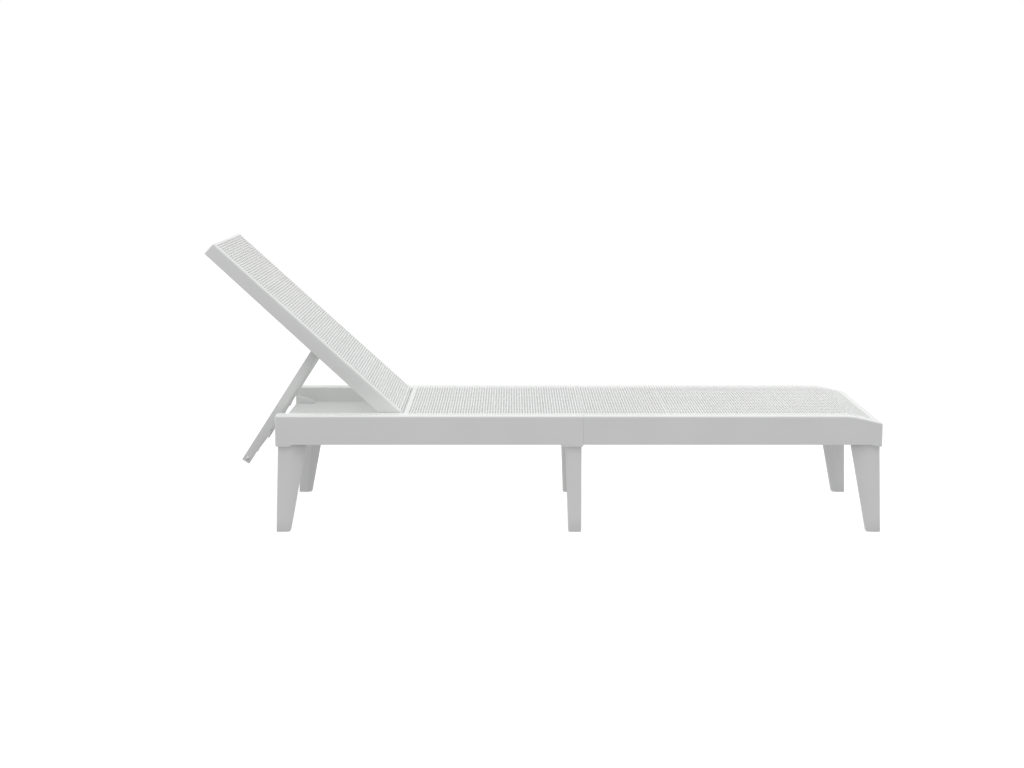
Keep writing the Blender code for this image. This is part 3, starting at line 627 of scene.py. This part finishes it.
def make_foot_half(material):
    shell = Shell()
    rows, kinds = [], []

    def add(x, inner_x=None, gap="plain"):
        if rows:
            kinds.append(gap)
        rows.append(frame_row(x, x if inner_x is None else inner_x, "deck"))

    add(FOOT_START)
    for k in range(1, FOOT_ROWS + 1):
        add(SEAM + k * PITCH, gap="slots")
    plain_start = SEAM + FOOT_ROWS * PITCH
    plain_end = LENGTH - FOOT_PLAIN_END
    for k in range(1, FOOT_PLAIN_STEPS + 1):
        add(plain_start + (plain_end - plain_start) * k / FOOT_PLAIN_STEPS)
    for inside in GROOVE[::-1]:
        add(LENGTH - inside)
    for inside in rounding_stations(CORNER_RADIUS)[::-1]:
        x = LENGTH - inside
        add(x, min(x, LENGTH - WALL))
    upper, lower = slotted_sheet(shell, [r[0] for r in rows], [r[1] for r in rows], slots_of(kinds))
    close_sides(shell, upper, lower)
    close_bottom_end(shell, upper[-1], lower[-1])
    shell.strip(upper[0], lower[0])

    foot = leg_span("foot")
    inner = HALF_WIDTH - WALL
    start, end = FOOT_START + WALL, LENGTH - WALL
    shell.box((FOOT_START, start), (-inner, inner), (APRON_BOTTOM, DECK - WALL + OVERLAP))
    line = [start + (end - start) * k / 30 for k in range(31)]
    for sign in (-1, 1):
        low = [(start, APRON_BOTTOM), (end, APRON_BOTTOM)]
        high = [(x, deck_height(x) - WALL + OVERLAP) for x in line[::-1]]
        shell.prism(low + high, *sorted((sign * BAY_HALF, sign * (BAY_HALF + WALL))))
    sockets(shell, (foot[0][0] - SOCKET_ROOM - WALL,))
    ribs(shell, start, end)
    make_piece("frame_foot_moulding", shell, material, "frame", ["frame_foot_half"],
               Matrix.Translation((HEAD_X, 0, 0)))


# ---------------------------------------------------------------- legs
def leg_ring(x_outer, x_inner, y_outer, depth, flat, radius):
    """Plan outline of a leg: a flat outer end, then wings that curve in to a narrow edge."""
    towards = 1 if x_inner > x_outer else -1
    length = abs(x_inner - x_outer)
    wing = length - flat
    fall = min(0.35 * wing, depth * 0.34)
    rise = min(0.65 * wing, depth * 0.60)

    def at(along, inward):
        return (x_outer + towards * along, y_outer - inward)

    points = [at(*p) for p in arc((radius, radius), radius, 180, 270, 4)]
    for k in range(7):
        share = k / 6
        along = flat + wing * share
        points.append(at(min(along, length - 0.0004), fall * share ** 1.35))
    points.append(at(length, fall + 0.0008))
    points.append(at(length, depth - rise - 0.0006))
    for k in range(1, 6):
        share = k / 5
        points.append(at(length - wing * 0.8 * share, depth - rise * (1 - share) ** 1.15))
    points += [at(*p) for p in arc((radius, depth - radius), radius, 90, 180, 4)]
    return points


def make_leg(row, side, material):
    sign = {"right": -1, "left": 1}[side]
    top, foot = leg_span(row)
    outer_top = HALF_WIDTH - LEG_INSET
    ends = (top, foot) if row == "head" else (top[::-1], foot[::-1])
    flats = CORNER_LEG_FLAT
    if row == "middle":
        flats = tuple(size - MIDDLE_LEG_CHAMFER for size in MIDDLE_LEG)

    def ring(share, z, inset=0.0):
        """Section at a height, which is a share of the leg's; share 0 is the floor."""
        x_outer = ends[1][0] + (ends[0][0] - ends[1][0]) * share
        x_inner = ends[1][1] + (ends[0][1] - ends[1][1]) * share
        towards = 1 if x_inner > x_outer else -1
        depth = LEG_DEPTH[1] + (LEG_DEPTH[0] - LEG_DEPTH[1]) * share
        flat = flats[1] + (flats[0] - flats[1]) * share
        outline = leg_ring(x_outer + towards * inset, x_inner - towards * inset, outer_top - inset,
                           depth - 2 * inset, flat, LEG_RADIUS)
        return [(x, sign * y, z) for x, y in outline]

    shell = Shell()
    height = APRON_BOTTOM
    levels = [(0.0, 0.0022), (0.0003, 0.0012), (0.0010, 0.0004), (0.0022, 0.0)]
    levels += [(height * k / 6, 0.0) for k in range(1, 6)]
    levels += [(height - 0.0006, 0.0)]
    rings = [shell.loop(ring(z / height, z, inset)) for z, inset in levels]
    rings.append(shell.loop(ring(1.0, height, TENON_INSET)))
    rings.append(shell.loop(ring(1.0, height + TENON_HEIGHT, TENON_INSET)))
    for low, high in zip(rings, rings[1:]):
        shell.band(low, high)
    shell.face(*rings[0])
    shell.face(*rings[-1])
    node = f"leg_{row}_{side}"
    make_piece(f"{node}_moulding", shell, material, "frame", [node],
               Matrix.Translation((HEAD_X, 0, 0)), LEG_CREASE)


# ---------------------------------------------------------------- backrest
def back_path():
    """Stations of the backrest's skin as (x, z, normal x, normal z, edge radius, kind)."""
    tip_bottom = COVER - SKIRT_AT_TIP
    r = BACK_EDGE
    path = [(-BACK_LENGTH, z, -1, 0, r, "plain") for z in (tip_bottom, COVER - r - EDGE_LEAD)]
    for k in range(6):
        turn = math.radians(180 - 90 * k / 5)
        nx, nz = math.cos(turn), math.sin(turn)
        path.append((r - BACK_LENGTH + r * nx, COVER - r + r * nz, nx, nz, r, "plain"))
    start = TIP_MARGIN - BACK_LENGTH
    path.append((start, COVER, 0, 1, r, "plain"))
    pitch = -start / (BACK_ROWS + 0.3)
    for k in range(1, BACK_ROWS + 1):
        path.append((start + k * pitch, COVER, 0, 1, r, "slots"))
    bottom_turn = -math.degrees(math.asin((SKIRT_AT_HINGE - COVER) / COVER))
    row_turn = math.degrees(pitch / COVER)
    turns = [(90, "plain")] + [(90 - k * row_turn, "slots") for k in range(1, NOSE_ROWS + 1)]
    steps = 12
    last = turns[-1][0]
    turns += [(last + (bottom_turn - last) * k / steps, "plain") for k in range(1, steps + 1)]
    for degrees, kind in turns:
        turn = math.radians(degrees)
        nx, nz = math.cos(turn), math.sin(turn)
        path.append((COVER * nx, COVER * nz, nx, nz, r, kind))
    return path


BACK_SIDE_STEPS = 4
BACK_SIDE_POINTS = BACK_SIDE_STEPS + 1


def back_row(station):
    """Top and under points of one station across the backrest, right side to left."""
    x, z, nx, nz, r, _ = station
    lattice = BACK_HALF - BACK_BORDER
    side = arc((BACK_HALF - r, r), r, 0, -90, BACK_SIDE_STEPS)
    across = [(-y, d) for y, d in side]
    across += [(-lattice + 2 * lattice * k / BACK_COLUMNS, 0.0) for k in range(BACK_COLUMNS + 1)]
    across += [(y, d) for y, d in side[::-1]]
    top = [(x - nx * d, y, z - nz * d) for y, d in across]
    inner = BACK_HALF - WALL
    in_x = max(x - nx * WALL, WALL - BACK_LENGTH)
    in_z = min(z - nz * WALL, COVER - WALL)
    under = [(in_x, min(inner, max(-inner, y)), in_z) for y, _ in across]
    return top, under


def make_backrest(material):
    shell = Shell()
    path = back_path()
    rows = [back_row(station) for station in path]
    kinds = [station[5] for station in path[1:]]
    column = 2 * (BACK_HALF - BACK_BORDER) / BACK_COLUMNS

    def slot(i, j):
        slotted = kinds[i] == "slots" and 0 <= j - BACK_SIDE_POINTS < BACK_COLUMNS
        return (column - SLOT_BRIDGE, WALL) if slotted else (0, 0)

    upper, lower = slotted_sheet(shell, [row[0] for row in rows], [row[1] for row in rows], slot)
    for edge in (0, -1):
        outer_side = [row[edge] for row in upper]
        inner_side = [row[edge] for row in lower]
        shell.face(*outer_side)
        shell.face(*inner_side)
        shell.face(outer_side[0], outer_side[-1], inner_side[-1], inner_side[0])
    shell.strip(upper[0], lower[0])
    shell.strip(upper[-1], lower[-1])
    backrest_ribs(shell)
    ears(shell)
    turned = Matrix.Translation(HINGE) @ Matrix.Rotation(RAISED, 4, "Y")
    make_piece("backrest_moulding", shell, material, "backrest", ["backrest_panel"],
               turned)


def backrest_ribs(shell):
    """Ribs under the backrest's skin, clear of the folded prop."""
    skin = COVER - WALL
    central = HALF_SPREAD - BACK_RIB_MARGIN
    heights = (skin - BACK_RIB_DEPTH, skin + OVERLAP)
    start = WALL - BACK_LENGTH + BACK_RIBS_START
    end = BACK_RIBS_END
    for k in range(6):
        x = min(start + (end - start) * k / 5, end - RIB_THICKNESS)
        shell.box((x, x + RIB_THICKNESS), (-central, central), heights)
    for k in range(4):
        y = -central + (2 * central - RIB_THICKNESS) * k / 3
        shell.box((start, end), (y, y + RIB_THICKNESS), heights)


def ears(shell):
    """Pairs of ears that hold the prop's pivot pins."""
    buried = COVER - WALL / 2
    outline = arc((-PROP_REACH, PIVOT_HEIGHT), EAR_RADIUS, 180, 360, 12)
    outline += [(EAR_RADIUS - PROP_REACH, buried), (-EAR_RADIUS - PROP_REACH, buried)]
    offset = (ARM_THICKNESS + EAR_THICKNESS) / 2 + EAR_GAP
    half = EAR_THICKNESS / 2
    for sign in (-1, 1):
        for step in (-offset, offset):
            middle = sign * HALF_SPREAD + step
            bevelled_prism(shell, outline, middle - half, middle + half, EAR_BEVEL)


# ---------------------------------------------------------------- prop
def contact_distance():
    """Distance along the prop from its pivot to the tooth that stands on the brackets."""
    lean = PROP_TURN - RAISED
    crossing = (PIVOT.x - HEAD_X + ARM_DEPTH / 2 * math.sin(lean)) / math.cos(lean)
    return crossing - TOOTH_HEIGHT / math.tan(lean)


def make_prop(material):
    turned = Matrix.Translation(PIVOT) @ Matrix.Rotation(RAISED - PROP_TURN, 4, "Y")
    half = ARM_DEPTH / 2
    outline = arc((0, 0), half, 90, -90, 14)
    for k in range(TEETH):
        face = contact_distance() + k * TOOTH_PITCH
        if face < PROP_LENGTH - TOOTH_LENGTH:
            outline += [(TOOTH_LENGTH - face, -half), (-face, -half - TOOTH_HEIGHT), (-face, -half)]
    outline += [(-PROP_LENGTH, -half), (-PROP_LENGTH, half)]
    for side, sign in (("right", -1), ("left", 1)):
        shell = Shell()
        near = sign * HALF_SPREAD - ARM_THICKNESS / 2
        bevelled_prism(shell, outline, near, near + ARM_THICKNESS, ARM_BEVEL)
        make_piece(f"prop_arm_{side}_moulding", shell, material, "prop", [f"prop_arm_{side}"],
                   turned)
    shell = Shell()
    reach = HALF_SPREAD - ARM_THICKNESS / 2 - GAP
    x0 = GAP - PROP_LENGTH
    h = TIE_THICKNESS / 2
    x1 = x0 + TIE_DEPTH
    bevelled_prism(shell, [(x0, -h), (x1, -h), (x1, h), (x0, h)], -reach, reach, TIE_BEVEL, 3)
    make_piece("prop_tie_bar_moulding", shell, material, "prop", ["prop_tie_bar"], turned)


# ---------------------------------------------------------------- materials
def new_material(name):
    material = bpy.data.materials.new(name)
    material.use_nodes = True
    nodes, links = material.node_tree.nodes, material.node_tree.links
    shader = nodes["Principled BSDF"]
    coordinates = nodes.new("ShaderNodeTexCoord")
    return material, nodes, links, shader, coordinates


def noise(nodes, links, coordinates, scale, detail=2.0, roughness=0.5):
    texture = nodes.new("ShaderNodeTexNoise")
    texture.inputs["Scale"].default_value = scale
    texture.inputs["Detail"].default_value = detail
    texture.inputs["Roughness"].default_value = roughness
    links.new(coordinates.outputs["Object"], texture.inputs["Vector"])
    return texture.outputs["Fac"]


def remap(nodes, links, value, low, high, from_low=0.3, from_high=0.7):
    node = nodes.new("ShaderNodeMapRange")
    node.inputs["From Min"].default_value = from_low
    node.inputs["From Max"].default_value = from_high
    node.inputs["To Min"].default_value = low
    node.inputs["To Max"].default_value = high
    links.new(value, node.inputs["Value"])
    return node.outputs["Result"]


def blend_colours(nodes, links, factor, first, second):
    node = nodes.new("ShaderNodeMix")
    node.data_type = "RGBA"
    node.inputs["A"].default_value = (*first, 1)
    node.inputs["B"].default_value = (*second, 1)
    links.new(factor, node.inputs["Factor"])
    return node.outputs["Result"]


def moulded_plastic(name, colour, roughness=0.40):
    """Satin moulded polypropylene: faint flow clouds, fine spark-eroded grain, uneven gloss."""
    material, nodes, links, shader, coordinates = new_material(name)
    clouds = noise(nodes, links, coordinates, 5.0, 3.0)
    grain = noise(nodes, links, coordinates, 850.0, 2.0)
    gloss = noise(nodes, links, coordinates, 23.0, 4.0)
    darker = tuple(c * 0.975 for c in colour)
    lighter = tuple(min(1.0, c * 1.012) for c in colour)
    tone = blend_colours(nodes, links, remap(nodes, links, clouds, 0, 1), darker, lighter)
    links.new(tone, shader.inputs["Base Color"])
    links.new(remap(nodes, links, gloss, roughness - 0.04, roughness + 0.05), shader.inputs["Roughness"])
    bump = nodes.new("ShaderNodeBump")
    bump.inputs["Strength"].default_value = 0.22
    bump.inputs["Distance"].default_value = 0.00012
    links.new(grain, bump.inputs["Height"])
    links.new(bump.outputs["Normal"], shader.inputs["Normal"])
    shader.inputs["IOR"].default_value = 1.46
    return material


def zinc_steel():
    """Zinc-plated steel: small spangled patches of tone and gloss, fine turning marks."""
    material, nodes, links, shader, coordinates = new_material("zinc_plated_steel")
    patches = noise(nodes, links, coordinates, 260.0, 3.0)
    marks = noise(nodes, links, coordinates, 1900.0, 2.0)
    spangle = remap(nodes, links, patches, 0, 1)
    tone = blend_colours(nodes, links, spangle, (0.74, 0.75, 0.76), (0.86, 0.86, 0.85))
    links.new(tone, shader.inputs["Base Color"])
    links.new(remap(nodes, links, patches, 0.34, 0.50), shader.inputs["Roughness"])
    shader.inputs["Metallic"].default_value = 1.0
    bump = nodes.new("ShaderNodeBump")
    bump.inputs["Strength"].default_value = 0.15
    bump.inputs["Distance"].default_value = 0.00005
    links.new(marks, bump.inputs["Height"])
    links.new(bump.outputs["Normal"], shader.inputs["Normal"])
    return material


def pale_floor():
    """Pale floor that glows faintly, so that it stays plain all round the object."""
    material, nodes, links, shader, coordinates = new_material("studio_floor")
    patches = noise(nodes, links, coordinates, 0.7, 2.0)
    share = remap(nodes, links, patches, 0, 1)
    tone = blend_colours(nodes, links, share, (0.26, 0.26, 0.26), (0.28, 0.28, 0.28))
    links.new(tone, shader.inputs["Base Color"])
    shader.inputs["Roughness"].default_value = 0.9
    shader.inputs["Specular IOR Level"].default_value = 0.0
    shader.inputs["Emission Color"].default_value = (1, 1, 1, 1)
    shader.inputs["Emission Strength"].default_value = FLOOR_GLOW
    return material


# ---------------------------------------------------------------- studio
def add_floor():
    r = FLOOR_REACH
    shell = Shell()
    shell.face(*shell.loop([(-r, -r, 0), (r, -r, 0), (r, r, 0), (-r, r, 0)]))
    mesh = bpy.data.meshes.new("studio_floor")
    mesh.from_pydata(shell.points, [], shell.faces)
    mesh.materials.append(pale_floor())
    floor = bpy.data.objects.new("studio_floor", mesh)
    bpy.context.scene.collection.objects.link(floor)
    floor.visible_diffuse = False
    floor.visible_glossy = False


def add_light():
    """A soft studio dome, dim in front and below, with a soft key light from above."""
    world = bpy.data.worlds.new("studio")
    world.use_nodes = True
    nodes, links = world.node_tree.nodes, world.node_tree.links
    coordinates = nodes.new("ShaderNodeTexCoord")
    total = None
    for direction, strength in DOME:
        facing = nodes.new("ShaderNodeVectorMath")
        facing.operation = "DOT_PRODUCT"
        links.new(coordinates.outputs["Generated"], facing.inputs[0])
        facing.inputs[1].default_value = direction
        lit = nodes.new("ShaderNodeMath")
        lit.operation = "MAXIMUM"
        lit.inputs[1].default_value = 0.0
        links.new(facing.outputs["Value"], lit.inputs[0])
        part = nodes.new("ShaderNodeMath")
        part.operation = "MULTIPLY_ADD"
        links.new(lit.outputs[0], part.inputs[0])
        part.inputs[1].default_value = strength
        if total is None:
            part.inputs[2].default_value = DOME_BASE
        else:
            links.new(total, part.inputs[2])
        total = part.outputs[0]
    soft = nodes["Background"]
    soft.inputs["Color"].default_value = (1, 1, 1, 1)
    links.new(total, soft.inputs["Strength"])
    seen = nodes.new("ShaderNodeBackground")
    seen.inputs["Color"].default_value = (1, 1, 1, 1)
    seen.inputs["Strength"].default_value = 1.0
    path = nodes.new("ShaderNodeLightPath")
    mix = nodes.new("ShaderNodeMixShader")
    links.new(path.outputs["Is Camera Ray"], mix.inputs["Fac"])
    links.new(soft.outputs["Background"], mix.inputs[1])
    links.new(seen.outputs["Background"], mix.inputs[2])
    links.new(mix.outputs["Shader"], nodes["World Output"].inputs["Surface"])
    bpy.context.scene.world = world

    key = bpy.data.lights.new("key", "SUN")
    key.energy = KEY_STRENGTH
    key.angle = KEY_ANGLE
    lamp = bpy.data.objects.new("key", key)
    lamp.rotation_euler = Vector(KEY_FROM).to_track_quat("Z", "Y").to_euler()
    bpy.context.scene.collection.objects.link(lamp)


def add_camera():
    camera = bpy.data.cameras.new("camera")
    camera.lens = CAMERA_LENS
    camera.sensor_width = 36.0
    holder = bpy.data.objects.new("camera", camera)
    holder.location = Vector(CAMERA_AWAY) + Vector((HEAD_X, 0, 0))
    holder.rotation_euler = (math.radians(90 - CAMERA_DIP), 0, 0)
    bpy.context.scene.collection.objects.link(holder)
    bpy.context.scene.camera = holder


# ---------------------------------------------------------------- put together
def build():
    frame_plastic = moulded_plastic("frame_moulded_plastic", FRAME_COLOUR)
    leg_plastic = moulded_plastic("leg_moulded_plastic", FRAME_COLOUR, MATT)
    back_plastic = moulded_plastic("backrest_moulded_plastic", FRAME_COLOUR)
    prop_plastic = moulded_plastic("prop_moulded_plastic", PROP_COLOUR, MATT)
    steel = zinc_steel()
    make_head_half(frame_plastic)
    make_foot_half(frame_plastic)
    for row in ("head", "middle", "foot"):
        for side in ("right", "left"):
            make_leg(row, side, leg_plastic)
    make_backrest(back_plastic)
    make_prop(prop_plastic)
    for name, node in frame["nodes"].items():
        if any(word in name for word in ("screw", "bolt", "nut", "pin")):
            for slot in node.material_slots:
                slot.material = steel
    add_floor()
    add_light()
    add_camera()
    bpy.context.scene.view_settings.view_transform = "Standard"


build()
